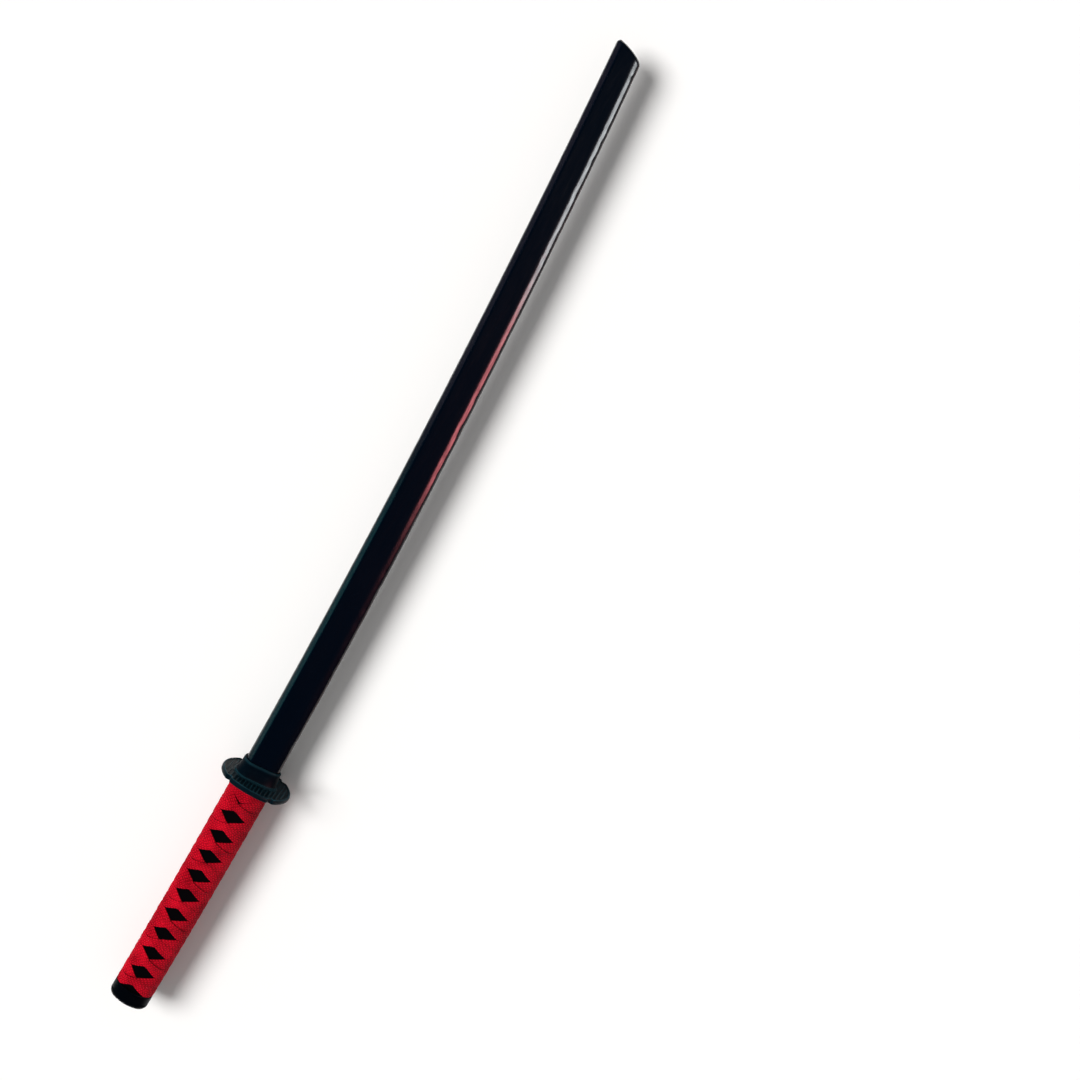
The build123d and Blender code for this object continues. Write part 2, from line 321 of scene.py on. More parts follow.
# ---- shader maths ----
class Socket:
    """A socket or a number, on which the usual operators add Math nodes."""

    def __init__(self, shader, link):
        self.shader, self.link = shader, link

    def maths(self, operation, *values):
        return self.shader.node("ShaderNodeMath", {"operation": operation}, dict(enumerate(values)))

    def __add__(self, other):
        return self.maths("ADD", self, other)

    def __radd__(self, other):
        return self.maths("ADD", other, self)

    def __sub__(self, other):
        return self.maths("SUBTRACT", self, other)

    def __rsub__(self, other):
        return self.maths("SUBTRACT", other, self)

    def __mul__(self, other):
        return self.maths("MULTIPLY", self, other)

    def __rmul__(self, other):
        return self.maths("MULTIPLY", other, self)

    def __truediv__(self, other):
        return self.maths("DIVIDE", self, other)

    def __pow__(self, other):
        return self.maths("POWER", self, other)

    def sine(self):
        return self.maths("SINE", self)

    def size(self):
        return self.maths("ABSOLUTE", self)

    def fraction(self):
        return self.maths("FRACT", self)

    def floor(self):
        return self.maths("FLOOR", self)

    def clip(self):
        return self.shader.node("ShaderNodeClamp", {}, {"Value": self})

    def ramp(self, low, high):
        """0 at low, 1 at high, smooth between."""
        settings = {"interpolation_type": "SMOOTHSTEP"}
        return self.shader.node("ShaderNodeMapRange", settings, {"Value": self, "From Min": low, "From Max": high})


class Shader:
    """One procedural material on a Principled shader."""

    def __init__(self, name, **fixed):
        self.material = bpy.data.materials.new(name)
        self.material.use_nodes = True
        self.tree = self.material.node_tree
        self.surface = self.tree.nodes["Principled BSDF"]
        for socket, value in fixed.items():
            self.surface.inputs[socket.replace("_", " ")].default_value = value

    def node(self, kind, settings, inputs, output=0):
        """Adds a node, sets it, and fills or links its sockets by name or number."""
        node = self.tree.nodes.new(kind)
        for name, value in settings.items():
            setattr(node, name, value)
        for key, value in inputs.items():
            self.fill(node.inputs[key], value)
        return Socket(self, node.outputs[output])

    def fill(self, socket, value):
        if isinstance(value, Socket):
            self.tree.links.new(value.link, socket)
        elif hasattr(value, "__len__") and socket.type == "RGBA":
            socket.default_value = (*value, 1)
        else:
            socket.default_value = value

    def drive(self, **sockets):
        for name, value in sockets.items():
            self.fill(self.surface.inputs[name.replace("_", " ")], value)

    def place(self, scale=(1, 1, 1)):
        """Object coordinates, in metres, times a scale along each axis."""
        found = self.node("ShaderNodeTexCoord", {}, {}, "Object")
        return self.node("ShaderNodeMapping", {}, {"Vector": found, "Scale": scale})

    def noise(self, vector, scale, detail=3, rough=0.5):
        inputs = {"Vector": vector, "Scale": scale, "Detail": detail, "Roughness": rough}
        return self.node("ShaderNodeTexNoise", {}, inputs)

    def mark(self, name):
        return self.node("ShaderNodeAttribute", {"attribute_name": name}, {}, "Fac")

    def mix(self, factor, first, second):
        """Colour mix."""
        return self.node("ShaderNodeMix", {"data_type": "RGBA"}, {0: factor, 6: first, 7: second}, 2)

    def bump(self, height, distance, strength=1.0):
        inputs = {"Height": height, "Distance": distance, "Strength": strength}
        self.drive(Normal=self.node("ShaderNodeBump", {}, inputs))


def lacquered_wood(blade):
    """Glossy coat over close-grained wood: faint long grain, orange peel and handling haze. Along the edge the
    coat is thinner, and the colour turns brown as a painted reflection of something warm; the blue in the black is
    a painted reflection too.
    """
    made = Shader("lacquered_wood", IOR=1.5, Coat_Roughness=0.17, Coat_IOR=1.45, Specular_IOR_Level=0.02)
    grain = made.noise(made.place((9, 420, 420)), 1.0, 4, 0.6)
    peel = made.noise(made.place(), 520.0, 2)
    haze = made.noise(made.place((14, 60, 60)), 1.0, 3, 0.6).ramp(0.35, 0.75)
    scuffs = made.noise(made.place((60, 900, 900)), 1.0, 3, 0.7).ramp(0.62, 0.78)
    streaks = made.noise(made.place((70, 700, 700)), 1.0, 4, 0.7).ramp(0.35, 0.65)
    # Edge band: brown painted reflection in the colour, mottled by the haze, and a thinner coat.
    edge_wear_and_reflection = (made.mark("edge_wear_and_reflection") * (0.35 + 0.9 * haze)).clip()
    made.drive(
        # The blue of this base colour is a painted reflection of a dark blue room.
        Base_Color=made.mix(edge_wear_and_reflection, blade.lacquer_and_blue_reflection, blade.edge_reflection_brown),
        Roughness=0.24 + 0.14 * haze + 0.20 * scuffs,
        Coat_Weight=0.55 + 0.4 * streaks - 0.35 * edge_wear_and_reflection,
    )
    hollows = made.noise(made.place((26, 85, 85)), 1.0, 3, 0.55)
    made.bump(grain * 0.05 + peel * 0.025 + hollows, 0.0013, 0.6)
    return made.material


def moulded_plastic(name, base, highlight_teal):
    """Satin moulding: a fine even grain, lighter with painted highlight along the rim and the ribs, broken up by a
    faint mottle.
    """
    made = Shader(name, IOR=1.48, Specular_IOR_Level=0.06)
    grain = made.noise(made.place(), 2600.0, 2)
    rub = made.noise(made.place(), 120.0, 3, 0.6).ramp(0.4, 0.7)
    # Painted highlight where it is marked, broken up by the mottle, which also lightens a little everywhere.
    painted_highlight = (made.mark("painted_highlight") * (0.35 + 0.65 * rub) + rub * 0.04).clip()
    made.drive(Base_Color=made.mix(painted_highlight, base, highlight_teal), Roughness=0.36 + 0.12 * rub)
    made.bump(grain, 0.00006, 0.8)
    return made.material


def stopper_rubber(handle):
    """Dull rubber with a soft sheen and a faint mottle, lightened by painted highlight at its rim and its lip."""
    made = Shader("stopper_rubber", IOR=1.47, Specular_IOR_Level=0.03)
    mottle = made.noise(made.place(), 260.0, 3, 0.6)
    dust = mottle.ramp(0.5, 0.8)
    # Painted highlight at the rim and the lip, mottled; dust adds a faint lightening below.
    painted_highlight = (made.mark("painted_highlight") * (0.4 + 0.9 * mottle)).clip()
    made.drive(
        Base_Color=made.mix((painted_highlight + dust * 0.03).clip(), handle.rubber, handle.highlight_teal),
        Roughness=0.38 + 0.16 * dust,
    )
    made.bump(made.noise(made.place(), 1800.0, 2), 0.00006, 0.6)
    return made.material


def underlay_cloth(handle):
    """Dead black close-woven cloth: two crossed sets of threads."""
    made = Shader("underlay_cloth", Specular_IOR_Level=0.05)
    weave = made.node("ShaderNodeUVMap", {"uv_map": "weave"}, {})
    parts = made.node("ShaderNodeSeparateXYZ", {}, {"Vector": weave})
    warp = (Socket(made, parts.link.node.outputs[0]) * 5200.0).sine()
    weft = (Socket(made, parts.link.node.outputs[1]) * 5200.0).sine()
    threads = warp * weft * 0.5 + 0.5
    fuzz = made.noise(made.place(), 900.0, 3)
    made.drive(
        Base_Color=made.mix(threads * 0.6 + fuzz * 0.3, handle.underlay, tuple(2.2 * c for c in handle.underlay)),
        Roughness=0.82 + 0.12 * fuzz,
    )
    made.bump(threads, 0.0002, 0.8)
    return made.material


PLAITS = 5
STITCH = 2.5 * MM


def red_cord(cord):
    """Flat braided cotton: columns of slanted stitches that lean alternately, with fibre fuzz, uneven dye, and
    painted shade in the grooves between the plaits and between the stitches.
    """
    made = Shader(
        "red_cord",
        Specular_IOR_Level=0.08,
        Sheen_Weight=0.10,
        Sheen_Roughness=0.5,
        Sheen_Tint=(1.0, 0.02, 0.16, 1),
    )
    weave = made.node("ShaderNodeUVMap", {"uv_map": "weave"}, {})
    parts = made.node("ShaderNodeSeparateXYZ", {}, {"Vector": weave})
    along = Socket(made, parts.link.node.outputs[0])
    column = Socket(made, parts.link.node.outputs[1]) * PLAITS
    within = column.fraction()
    lean = (column.floor() * 0.5).fraction() * 4.0 - 1.0
    phase = along * (1 / STITCH) + lean * within * 0.55
    stitch = (phase * tau).sine() * 0.5 + 0.5
    groove = (within * pi).sine() ** 0.6
    fibres = made.noise(made.place(), 2400.0, 3, 0.7)
    blotch = made.noise(made.place(), 55.0, 3, 0.6)
    relief = (0.15 + 0.85 * stitch) * groove
    # Mix towards the deep red: painted shade in the grooves and stitch troughs, plus fibres and blotches of uneven
    # dye.
    depth = (relief * 0.8 + fibres * 0.2 + (blotch - 0.5) * 1.3).clip()
    made.drive(
        Base_Color=made.mix(depth, cord.shade, cord.dye),
        Roughness=0.78 + 0.15 * fibres,
    )
    made.bump(relief + fibres * 0.25, 0.00045, 0.9)
    return made.material


# ---- pieces ----
SEED = 7


def edge_marks(count, random):
    """Small knocks along the edge: place, height on the edge, length and depth of each."""
    places = random.uniform(0.03, 0.985, count)
    heights = random.uniform(-3.5, 6.0, count) * MM
    lengths = random.uniform(1.2, 5.0, count) * MM
    depths = random.uniform(0.06, 0.30, count) * MM
    return zip(places, heights, lengths, depths)


def build_body(sizes):
    """Blade and handle core as one closed skin: core rows, a shoulder, blade rows, a raked and eased end."""
    blade, handle = sizes.sword_blade, sizes.sword_handle
    half_count, blade_rows, core_rows = 112, 340, 24
    columns = 2 * half_count
    # rows crowd towards the tip, where the end is shaped
    ease = np.linspace(0, 1, blade_rows)
    share = np.sin(ease * pi / 2 * 0.80) / sin(pi / 2 * 0.80)
    x, y = blade_outline(blade, share, half_count)
    nx, ny = outward(x, y)
    s = share[:, None] * (blade.length - blade.tip_ease) + 0 * x
    random = np.random.default_rng(SEED)
    dent = 0 * x
    for place, height, reach, depth in edge_marks(46, random):
        near = ((s - place * blade.length) / reach) ** 2 + ((y - height) / (0.8 * reach)) ** 2
        dent += depth * np.exp(-near) * smooth_step(0.2, 0.75, -nx)
    wave = 0.035 * MM * (np.sin(s / 0.0113 + 0.8) + np.sin(s / 0.0071 + 2.1) + 0.7 * np.sin(s / 0.0232))
    dent += wave * smooth_step(0.1, 0.9, -nx)
    x, y = x - dent * nx, y - dent * ny
    lean = smooth_step(0.90, 1.0, share)[:, None]
    half_width = blade.tip_width / 2

    def raked(x):
        """How far the end leans back towards the edge: a slight belly, and a rounded corner at the spine."""
        q = (half_width - x) / blade.tip_width
        corner = np.clip(1 - q / 0.15, 0, 1) ** 2
        return blade.rake * (0.76 * q + 0.24 * q**4) + blade.tip_corner * corner

    s = s - lean * raked(x)
    # Edge band that takes the brown painted reflection and the thinner coat.
    edge_wear_and_reflection = smooth_step(0.60, 1.0, -nx)
    # eased rim, then a slightly domed end face
    turns = np.linspace(0, pi / 2, 9)[1:, None]
    inward = blade.tip_ease * (1 - np.cos(turns)) / (blade.tip_depth / 2)
    shrink = np.vstack((1 - inward, (1 - inward[-1]) * np.linspace(1, 0.04, 9)[1:, None]))
    rise = blade.tip_ease * np.sin(turns)
    dome = 0.5 * MM * (1 - np.linspace(1, 0.04, 9)[1:, None] ** 2)
    rise = np.vstack((rise, rise[-1] + dome))
    end_x, end_y = x[-1] * shrink, y[-1] * shrink
    end_s = blade.length - blade.tip_ease + rise - raked(end_x)
    core, _, _ = oval_outline(handle, columns)
    core_s = np.linspace(HANDLE_END + handle.cap_end, 0, core_rows)[:, None]
    core_x, core_y = core[:, 0] + 0 * core_s, core[:, 1] + 0 * core_s
    grid = np.concatenate((
        on_curve(core_s, core_x, core_y),
        on_curve(s, x, y),
        on_curve(end_s, end_x, end_y),
    ))
    marks = np.concatenate((0 * core_x, edge_wear_and_reflection, 0.5 * edge_wear_and_reflection[-1] + 0 * end_x))
    material = lacquered_wood(blade)
    add_piece(
        "wooden_body", grid, "sword", material, ["sword_body"], marks={"edge_wear_and_reflection": marks}
    )


def ring_profile(corners, rounding, count):
    """Closed profile through corners, evenly spaced and eased at its corners."""
    corners = np.array(corners, float)
    loop = np.vstack((corners, corners[:1]))
    along = np.concatenate(([0], np.cumsum(np.hypot(*np.diff(loop, axis=0).T))))
    places = np.linspace(0, along[-1], count, endpoint=False)
    spread = rounding / (along[-1] / count)
    out = soften(np.interp(places, along, loop[:, 0]), spread)
    high = soften(np.interp(places, along, loop[:, 1]), spread)
    return out[:, None], high[:, None]


def lobed_radius(angle, half_width, half_depth):
    """Distance from the middle to the guard's outline: four arcs, each met by a ray, less round notches."""
    notch_x, notch_y, notch = 23.0 * MM, 28.0 * MM, 2.9 * MM

    def ray(centre, radius, along):
        """Where a ray meets a circle centred on its own axis."""
        return centre * along + np.sqrt(radius**2 - centre**2 * (1 - along**2))

    side_reach = half_width - notch_x
    side = (notch_y**2 + side_reach**2) / (2 * side_reach)
    face_reach = half_depth - notch_y
    face = (notch_x**2 + face_reach**2) / (2 * face_reach)
    c, s = np.abs(np.cos(angle)), np.abs(np.sin(angle))
    radius = np.where(
        c * notch_y > s * notch_x, ray(half_width - side, side, c), ray(half_depth - face, face, s)
    )
    middle, distance = atan2(notch_y, notch_x), hypot(notch_x, notch_y)
    away = distance * np.sin(np.arctan2(s, c) - middle)
    inside = np.abs(away) < notch
    chord = np.sqrt(np.clip(notch**2 - away**2, 0, None))
    reach = distance * np.cos(np.arctan2(s, c) - middle) - chord
    return np.where(inside, np.minimum(radius, reach), radius)


def build_guard(sizes):
    """Lobed ring as a closed loop of heights over polar places: land, recessed ribbed field and a rim bead."""
    blade, handle = sizes.sword_blade, sizes.sword_handle
    columns, rows = 720, 58
    angle = np.linspace(0, tau, columns, endpoint=False)
    outer = soften(lobed_radius(angle, GUARD_HALF_WIDTH, GUARD_HALF_DEPTH), 2.2)
    x, y = blade_outline(blade, 0.0, 224)
    nx, ny = outward(x, y)
    gap = 0.3 * MM
    slot_x, slot_y = (x + gap * nx)[0] - GUARD_MIDDLE, (y + gap * ny)[0]
    turn = np.unwrap(np.arctan2(slot_y, slot_x))
    inner = np.interp(angle, turn, np.hypot(slot_x, slot_y), period=tau)
    half = GUARD_TOP / 2
    # from slot to rim, closer together near both walls
    step = 0.5 - 0.5 * np.cos(np.linspace(0, pi, rows))
    step = (0.55 * step + 0.45 * np.linspace(0, 1, rows))[:, None]
    radius = inner + (outer - inner) * step
    from_edge = (outer - radius) / MM
    from_slot = (radius - inner) / MM
    across, up = radius * np.cos(angle), radius * np.sin(angle)
    rounding = 1.5
    bead = np.sqrt(np.clip(1 - np.clip(1 - from_edge / rounding, 0, 1) ** 2, 0, 1))
    rim = smooth_step(2.1, 3.0, from_edge)
    land = smooth_step(5.0, 6.0, from_slot)
    rib_place = np.abs((across / MM / 3.6 + 0.5) % 1 - 0.5) * 3.6
    ribs = np.exp(-((rib_place / 0.50) ** 4))
    fade = smooth_step(3.2, 4.4, from_edge) * smooth_step(6.2, 7.2, from_slot)
    height = half * bead - rim * land * (0.75 * MM - 0.5 * MM * ribs * fade)
    lip = 0.35 * (1 - smooth_step(0.0, 0.5, from_slot)) * MM
    height = np.maximum(height - lip, 0.35 * MM)
    upper = on_curve(half + height, GUARD_MIDDLE + across, up)
    lower = on_curve(half - height, GUARD_MIDDLE + across, up)
    grid = np.concatenate((upper, lower[::-1]))
    # Painted highlight on the rim bead, the edge of the land and the ribs.
    band = smooth_step(0.5, 1.1, from_edge) * smooth_step(2.4, 1.7, from_edge)
    land_edge = smooth_step(4.2, 4.9, from_slot) * smooth_step(6.0, 5.3, from_slot)
    painted_highlight = np.clip(band + 0.5 * land_edge + 0.55 * ribs * fade, 0, 1)
    marks = np.concatenate((painted_highlight, painted_highlight[::-1]))
    material = moulded_plastic("moulded_plastic", handle.plastic, handle.highlight_teal)
    add_piece(
        "guard_plate", grid, "guard", material, ["guard"], wrap_rows=True,
        marks={"painted_highlight": marks},
    )
    return material


def build_stopper(sizes):
    """Rubber sleeve: a closed profile carried round the blade's outline, which grows rounder outwards."""
    blade, handle = sizes.sword_blade, sizes.sword_handle
    x, y = blade_outline(blade, 0.0, 160)
    round_x, round_y = soften(x, 8), soften(y, 8)
    nx, ny = outward(round_x, round_y)
    rise = (STOPPER_TOP - GUARD_TOP) / MM
    drop = np.linspace(0, 1, 10)
    sleeve = [(2.5 + 1.5 * t**2.2, rise - 1.6 - (rise - 3.6) * t) for t in drop]
    rim = [(0.3, rise - 1.2), (0.75, rise - 0.15), (1.5, rise), (2.2, rise - 0.5)]
    lip = [(4.5, 1.6), (4.75, 0.9), (4.6, 0.0)]
    out, high = ring_profile(np.array([(0.3, 0.0), *rim, *sleeve, *lip]) * MM, 0.30 * MM, 160)
    blend = smooth_step(0.35 * MM, 1.6 * MM, out)
    turn = np.linspace(0, tau, x.shape[1], endpoint=False)
    wobble = 0.12 * MM * np.sin(3 * turn + 0.6) * smooth_step(0.6 * MM, 2.2 * MM, out)
    grown = out + wobble
    grid = on_curve(
        GUARD_TOP + high,
        x + (round_x - x) * blend + grown * nx,
        y + (round_y - y) * blend + grown * ny,
    )
    material = stopper_rubber(handle)
    # Painted highlight: the top of the rim and the lip at the foot.
    top = smooth_step(rise - 3.2, rise - 1.0, high / MM) * smooth_step(0.3, 0.9, out / MM)
    foot = smooth_step(2.4, 1.2, high / MM) * smooth_step(4.0, 4.5, out / MM)
    painted_highlight = 0.24 * top + 0.45 * foot + 0 * grown
    add_piece(
        "stopper_sleeve", grid, "stopper", material, ["guard_stopper"], wrap_rows=True,
        marks={"painted_highlight": painted_highlight},
    )


def build_fittings(sizes, material):
    """Collar and cap on the handle's oval, grown along its normals."""
    handle, cord = sizes.sword_handle, sizes.sword_cord
    core, normals, _ = oval_outline(handle, 288)
    flush = cord.underlay + cord.thickness
    proud = flush + 0.3 * MM
    out, high = ring_profile(
        [(0.04 * MM, COLLAR_FOOT), (proud, COLLAR_FOOT), (proud, 0), (0.04 * MM, 0)], 0.35 * MM, 90
    )
    grid = on_curve(high, core[:, 0] + out * normals[:, 0], core[:, 1] + out * normals[:, 1])
    add_piece("collar", grid, "sword", material, ["handle_collar"], wrap_rows=True)
    # cap: inner end, inner wall, rim, outer wall, rounded shoulder, domed butt
    turns = np.linspace(0, pi / 2, 22)
    rounding = handle.cap_rounding
    inner_end = HANDLE_END + handle.cap_end
    rim_turns = np.linspace(0, pi, 9)
    rim_middle, rim_radius = (flush + 0.04 * MM) / 2, (flush - 0.04 * MM) / 2
    flat = 0.9 * MM
    out = np.concatenate((
        [0.04 * MM] * 6,
        rim_middle - rim_radius * np.cos(rim_turns),
        [flush] * 5,
        flush - rounding * (1 - np.cos(turns)),
    ))[:, None]
    high = np.concatenate((
        np.linspace(inner_end, CAP_RIM - 0.6 * MM, 6),
        CAP_RIM - 0.55 * MM + 0.5 * MM * np.sin(rim_turns),
        np.linspace(CAP_RIM - 2 * MM, HANDLE_END + rounding + flat, 5),
        HANDLE_END + flat + rounding * (1 - np.sin(turns)),
    ))[:, None]
    x, y = core[:, 0] + out * normals[:, 0], core[:, 1] + out * normals[:, 1]
    shrink = np.linspace(1, 0.05, 12)[1:, None]
    butt_x, butt_y = x[-1] * shrink, y[-1] * shrink
    butt_s = HANDLE_END + flat * shrink**2
    grid = np.concatenate((on_curve(high, x, y), on_curve(butt_s, butt_x, butt_y)))
    dark = moulded_plastic("butt_plastic", handle.butt, handle.plastic)
    add_piece("butt_cap", grid, "sword", dark, ["pommel_cap"])


def build_underlay(sizes):
    """Two half sleeves of thin cloth: the oval grown by the cloth's thickness, closed at its edges."""
    handle, cord = sizes.sword_handle, sizes.sword_cord
    material = underlay_cloth(handle)
    core, normals, round_trip = oval_outline(handle, 400)
    along = np.linspace(CAP_RIM, COLLAR_FOOT, 60)[:, None]
    for name, node, start in (("underlay_upper", "underlay_front", 0), ("underlay_lower", "underlay_back", 200)):
        pick = (start + np.linspace(0, 200, 51).astype(int)) % 400
        outer = np.full(51, cord.underlay)
        inner = np.full(51, 0.05 * MM)
        out = np.concatenate((outer, inner[::-1]))
        index = np.concatenate((pick, pick[::-1]))
        x = core[index, 0] + out * normals[index, 0]
        y = core[index, 1] + out * normals[index, 1]
        grid = on_curve(along, x + 0 * along, y + 0 * along)
        around = np.concatenate((np.linspace(0, 0.5, 51), np.linspace(0.5, 0, 51))) * round_trip
        uv = np.stack(np.broadcast_arrays(along, around), axis=-1)
        add_piece(name, grid, "sword", material, [node], uv=uv)


class Binding:
    """Places of the crossings, shared by the two halves of the cord."""

    def __init__(self, cord):
        wrapped = COLLAR_FOOT - CAP_RIM - cord.lead
        self.turns = 2 * round(wrapped / (2 * cord.width))
        self.turn = wrapped / self.turns
        self.start = COLLAR_FOOT - cord.lead
        self.cord = cord
        random = np.random.default_rng(SEED + 1)
        count = self.turns + 1
        self.drift = random.normal(0, 0.28 * MM, count)
        self.sway = random.normal(0, 0.55 * MM, count) + np.where(np.arange(count) % 2, cord.shift, -0.3 * MM)
        self.narrow = cord.crossing * (1 + random.normal(0, 0.05, count))

    def edges(self, number, across, hand):
        """Guard-side and butt-side edges of a run at crossing number, hand 1 starting on the spine side."""
        centre = self.start - self.turn * number
        wide = self.cord.diamond
        knots = (-wide, hand * self.sway[number], wide)
        half, drift = self.narrow[number] / 2, self.drift[number]
        place = hand * across
        guard_side = np.interp(place, knots, (0, drift + half, self.turn))
        butt_side = np.interp(place, knots, (-self.turn, drift - half, 0))
        return centre + guard_side, centre + butt_side


def build_cord_half(sizes, hand, name, node, material):
    """One half of the cord: a flat closed tape laid round the oval half turn by half turn.

    Each half turn crosses a face between two straight edges that narrow to the crossing; where it is the
    upper strand it is raised by one thickness over the lower strand's own width, with eased flanks.
    """
    handle, cord = sizes.sword_handle, sizes.sword_cord
    binding = Binding(cord)
    samples = 104
    core, normals, round_trip = oval_outline(handle, 2 * samples)
    pieces = []
    for number in range(-1, binding.turns + 1):
        # even crossings lie on the lower face, odd ones on the upper, and -1 is the straight first turn
        upper = number % 2 == 1
        run = -hand if upper is False else hand
        steps = np.arange(samples)
        # the walk starts on the spine side when run is 1
        index = steps if run == 1 else samples - steps
        index = index % (2 * samples) if upper else (2 * samples - index) % (2 * samples)
        x, y = core[index, 0], core[index, 1]
        n = normals[index]
        if number < 0:
            # from the middle of the upper face to the side, hand 1 going to the edge side
            index = (samples // 2 + steps[: samples // 2]) if hand == 1 else (samples // 2 - steps[: samples // 2])
            x, y, n = core[index, 0], core[index, 1], normals[index]
            reach = binding.turn - cord.crossing / 2 - 0.4 * MM
            top = np.full(len(x), COLLAR_FOOT - 0.05 * MM)
            low = binding.start - reach * np.clip(1 - np.abs(x) / cord.diamond, 0, 1)
            lift = np.zeros((len(x), 2))
            over = False
        else:
            top, low = binding.edges(number, x, run)
            over_top, over_low = binding.edges(number, x, -run)
            over = (-1) ** (number // 2) * hand * (1 if upper else -1) == 1
            lift = np.stack((over_top, over_low), axis=-1)
        pieces.append((x, y, n, top, low, lift, np.full(len(x), float(over))))
    x, y, n, top, low, other, over = (np.concatenate([p[k] for p in pieces]) for k in range(7))
    top = np.minimum(top, COLLAR_FOOT - 0.05 * MM)
    top, low = soften(top, 1.6, wrap=False), soften(low, 1.6, wrap=False)
    low = np.maximum(low, CAP_RIM + 0.05 * MM)
    kept = top - low > 1.2 * MM
    last = len(kept) if kept.all() else int(np.argmin(kept))
    x, y, n, top, low, other, over = (part[:last] for part in (x, y, n, top, low, other, over))
    face = 26
    back = 12
    v = np.concatenate((np.linspace(0, 1, face), np.linspace(1, 0, back + 2)[1:-1]))
    side = np.concatenate((np.ones(face), -np.ones(back)))
    v_eased = 0.5 - 0.5 * np.cos(v * pi)
    v = 0.6 * v + 0.4 * v_eased
    inset = -0.12 * MM
    span = (top - low - 2 * inset)[:, None]
    s = (low + inset)[:, None] + span * v
    bulk = np.clip(binding.turn / span, 1.0, 1.35)
    rounding = np.clip(1 - np.abs(2 * v - 1) ** 5, 0, 1) ** 0.45
    inside = np.minimum(s - other[:, 1:2], other[:, 0:1] - s)
    fade = 1 - smooth_step(10.5 * MM, 15.0 * MM, np.abs(x))[:, None]
    lift = over[:, None] * fade * smooth_step(-2.4 * MM, 0.1 * MM, inside)
    lift = soften(lift, 2.0, wrap=False, axis=0)
    random = np.random.default_rng(SEED + 2 + hand)
    ripple = soften(random.normal(0, 1, (last, 1)), 9, wrap=False, axis=0) * 0.32 * MM
    half = cord.thickness / 2
    plait = np.abs(np.sin(PLAITS * pi * v)) ** 0.7
    relief = np.where(side > 0, (0.13 * MM) * (plait - 1) * np.ones_like(span), 0)
    crown = 0.18 * MM * (1 - (2 * v - 1) ** 2)
    middle = cord.underlay + half + lift * cord.thickness * 1.08 + crown + ripple * (1 - np.abs(2 * v - 1) ** 3)
    out = middle + side * half * rounding * bulk + relief * rounding
    out = np.maximum(out, cord.underlay + 0.02 * MM)
    grid = on_curve(s, x[:, None] + out * n[:, 0:1], y[:, None] + out * n[:, 1:2])
    length_along = np.arange(last) * (round_trip / (2 * samples))
    uv = np.stack(np.broadcast_arrays(length_along[:, None], v[None, :] + 0 * s), axis=-1)
    add_piece(name, grid, "sword", material, [node], uv=uv)
    return length_along[-1]


def build_cord(sizes):
    material = red_cord(sizes.sword_cord)
    build_cord_half(sizes, 1, "cord_first_half", "grip_cord_first_half", material)
    build_cord_half(sizes, -1, "cord_second_half", "grip_cord_second_half", material)


# ---- stage ----
CAMERA_AZIMUTH = radians(-0.64)
CAMERA_ELEVATION = radians(11.92)
CAMERA_ROLL = radians(30.29)
CAMERA_DISTANCE = 1.7048
FLOOR_HALF = 12.0
FLOOR_GAP = 0.2 * MM
STRIP_DISTANCE = 1.3


def direction(azimuth, elevation, roll):
    """Camera axes: right, up and back, for a camera over the sword's upper face with the tip up."""
    back = Vector((sin(elevation), -cos(elevation) * sin(azimuth), cos(elevation) * cos(azimuth)))
    up = (Vector((1, 0, 0)) - back * back.x).normalized()
    right = up.cross(back)
    return right * cos(roll) + up * sin(roll), up * cos(roll) - right * sin(roll), back


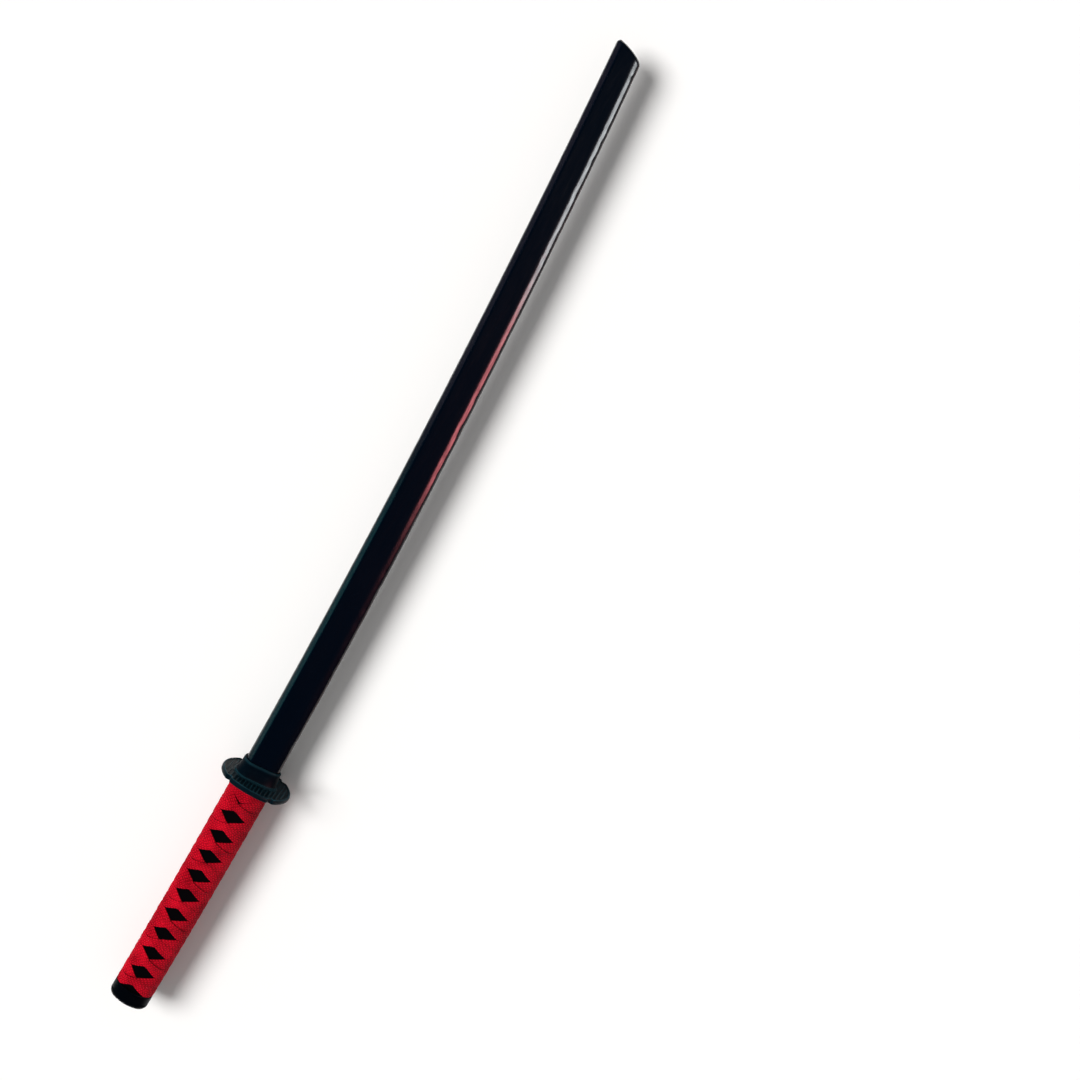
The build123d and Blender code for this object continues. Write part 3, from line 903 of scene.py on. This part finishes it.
def build_stage():
    """Pale floor and backdrop, camera, a broad key and fill, and four strips seen as reflections."""
    scene = bpy.context.scene
    scene.view_settings.view_transform = "Standard"
    right, up, back = direction(CAMERA_AZIMUTH, CAMERA_ELEVATION, CAMERA_ROLL)
    data = bpy.data.cameras.new("camera")
    data.sensor_width = 36
    data.lens = 62.08
    data.clip_end = 50
    camera = bpy.data.objects.new("camera", data)
    scene.collection.objects.link(camera)
    scene.camera = camera
    aim = Vector((0.2608, 0, 0)) + right * 0.14206 + up * 0.00844
    turned = Matrix((right, up, back)).transposed().to_4x4()
    camera.matrix_world = Matrix.Translation(aim + back * CAMERA_DISTANCE) @ turned

    size = FLOOR_HALF
    mesh = bpy.data.meshes.new("floor")
    z = FLOOR_Z - FLOOR_GAP
    mesh.from_pydata([(-size, -size, z), (size, -size, z), (size, size, z), (-size, size, z)], [], [(0, 1, 2, 3)])
    floor = bpy.data.objects.new("floor", mesh)
    scene.collection.objects.link(floor)
    paint = Shader("pale_floor", Roughness=0.9, Specular_IOR_Level=0.1)
    paint.drive(Base_Color=(0.9, 0.9, 0.9))
    mesh.materials.append(paint.material)

    world = bpy.data.worlds.new("room")
    world.use_nodes = True
    world.node_tree.nodes["Background"].inputs["Color"].default_value = (0.95, 0.95, 0.95, 1)
    world.node_tree.nodes["Background"].inputs["Strength"].default_value = 1.0
    # a pale backdrop only: the lights below make all the light and all the reflections
    world.cycles_visibility.diffuse = False
    world.cycles_visibility.glossy = False
    scene.world = world

    def sky(name, towards, energy, angle):
        """A distant light as wide as its angle, which leaves no reflection of its own."""
        light = bpy.data.lights.new(name, "SUN")
        light.energy = energy
        light.color = (1.0, 0.985, 0.97)
        light.angle = radians(angle)
        lamp = bpy.data.objects.new(name, light)
        scene.collection.objects.link(lamp)
        lamp.rotation_mode = "QUATERNION"
        lamp.rotation_quaternion = towards.to_track_quat("Z", "Y")
        lamp.visible_glossy = False

    sky("key", -right * 0.0220 + up * 0.0135 + Vector((0, 0, 0.036)), 3.25, 32)
    sky("fill", Vector((0, 0, 1)), 1.0, 165)

    def strip(name, along, lean, spread, reach, power, tint):
        """A rectangular light that leans about the sword and is seen only as a reflection."""
        light = bpy.data.lights.new(name, "AREA")
        light.shape = "RECTANGLE"
        light.size, light.size_y = reach, 2 * STRIP_DISTANCE * tan(spread / 2)
        light.energy = power
        light.color = tint
        lamp = bpy.data.objects.new(name, light)
        scene.collection.objects.link(lamp)
        lean_back = Vector((0, -sin(lean), cos(lean)))
        axes = Matrix((Vector((1, 0, 0)), lean_back.cross(Vector((1, 0, 0))), lean_back)).transposed()
        lamp.matrix_world = Matrix.Translation(Vector((along, 0, 0)) + lean_back * STRIP_DISTANCE) @ axes.to_4x4()
        lamp.visible_diffuse = False

    strip("tip_strip", 0.68, radians(51), radians(26), 0.46, 16.0, (0.93, 0.97, 1.0))
    strip("middle_strip", 0.27, radians(51), radians(26), 0.38, 12.5, (1.0, 0.25, 0.28))
    strip("spine_strip", -0.25, radians(-82), radians(26), 0.5, 0.6, (0.15, 0.95, 1.0))
    strip("spine_haze", 0.42, radians(-82), radians(26), 0.7, 0.35, (1.0, 0.75, 1.0))


# ---- operators and panel ----
class SWORD_OT_body(bpy.types.Operator):
    """Builds the lacquered blade and handle core"""

    bl_idname = "sword.body"
    bl_label = "Wooden body"

    def execute(self, context):
        build_body(context.scene)
        return {"FINISHED"}


class SWORD_OT_guard(bpy.types.Operator):
    """Builds the guard, and the collar and cap of the same moulding"""

    bl_idname = "sword.guard"
    bl_label = "Guard and fittings"

    def execute(self, context):
        material = build_guard(context.scene)
        build_fittings(context.scene, material)
        return {"FINISHED"}


class SWORD_OT_stopper(bpy.types.Operator):
    """Builds the rubber stopper"""

    bl_idname = "sword.stopper"
    bl_label = "Rubber stopper"

    def execute(self, context):
        build_stopper(context.scene)
        return {"FINISHED"}


class SWORD_OT_underlay(bpy.types.Operator):
    """Builds the cloth under the cord"""

    bl_idname = "sword.underlay"
    bl_label = "Underlay"

    def execute(self, context):
        build_underlay(context.scene)
        return {"FINISHED"}


class SWORD_OT_cord(bpy.types.Operator):
    """Builds both halves of the crossed cord"""

    bl_idname = "sword.cord"
    bl_label = "Cord binding"

    def execute(self, context):
        build_cord(context.scene)
        return {"FINISHED"}


class SWORD_OT_stage(bpy.types.Operator):
    """Builds the floor, lights and camera"""

    bl_idname = "sword.stage"
    bl_label = "Stage"

    def execute(self, context):
        build_stage()
        return {"FINISHED"}


OPERATORS = (SWORD_OT_body, SWORD_OT_guard, SWORD_OT_stopper, SWORD_OT_underlay, SWORD_OT_cord, SWORD_OT_stage)


class SWORD_PT_panel(bpy.types.Panel):
    """Lists the sword's pieces"""

    bl_label = "Practice sword"
    bl_idname = "SWORD_PT_panel"
    bl_space_type = "VIEW_3D"
    bl_region_type = "UI"
    bl_category = "Sword"

    def draw(self, context):
        for operator in OPERATORS:
            self.layout.operator(operator.bl_idname)


GROUPS = {"sword_blade": SwordBlade, "sword_handle": SwordHandle, "sword_cord": SwordCord}


def register():
    for group in GROUPS.values():
        bpy.utils.register_class(group)
    for name, group in GROUPS.items():
        setattr(bpy.types.Scene, name, bpy.props.PointerProperty(type=group))
    for kind in (*OPERATORS, SWORD_PT_panel):
        bpy.utils.register_class(kind)


def unregister():
    for kind in (SWORD_PT_panel, *OPERATORS[::-1]):
        bpy.utils.unregister_class(kind)
    for name in GROUPS:
        delattr(bpy.types.Scene, name)
    for group in GROUPS.values():
        bpy.utils.unregister_class(group)


def main():
    register()
    bpy.ops.sword.stage()
    bpy.ops.sword.body()
    bpy.ops.sword.guard()
    bpy.ops.sword.stopper()
    bpy.ops.sword.underlay()
    bpy.ops.sword.cord()


if __name__ == "__main__":
    main()
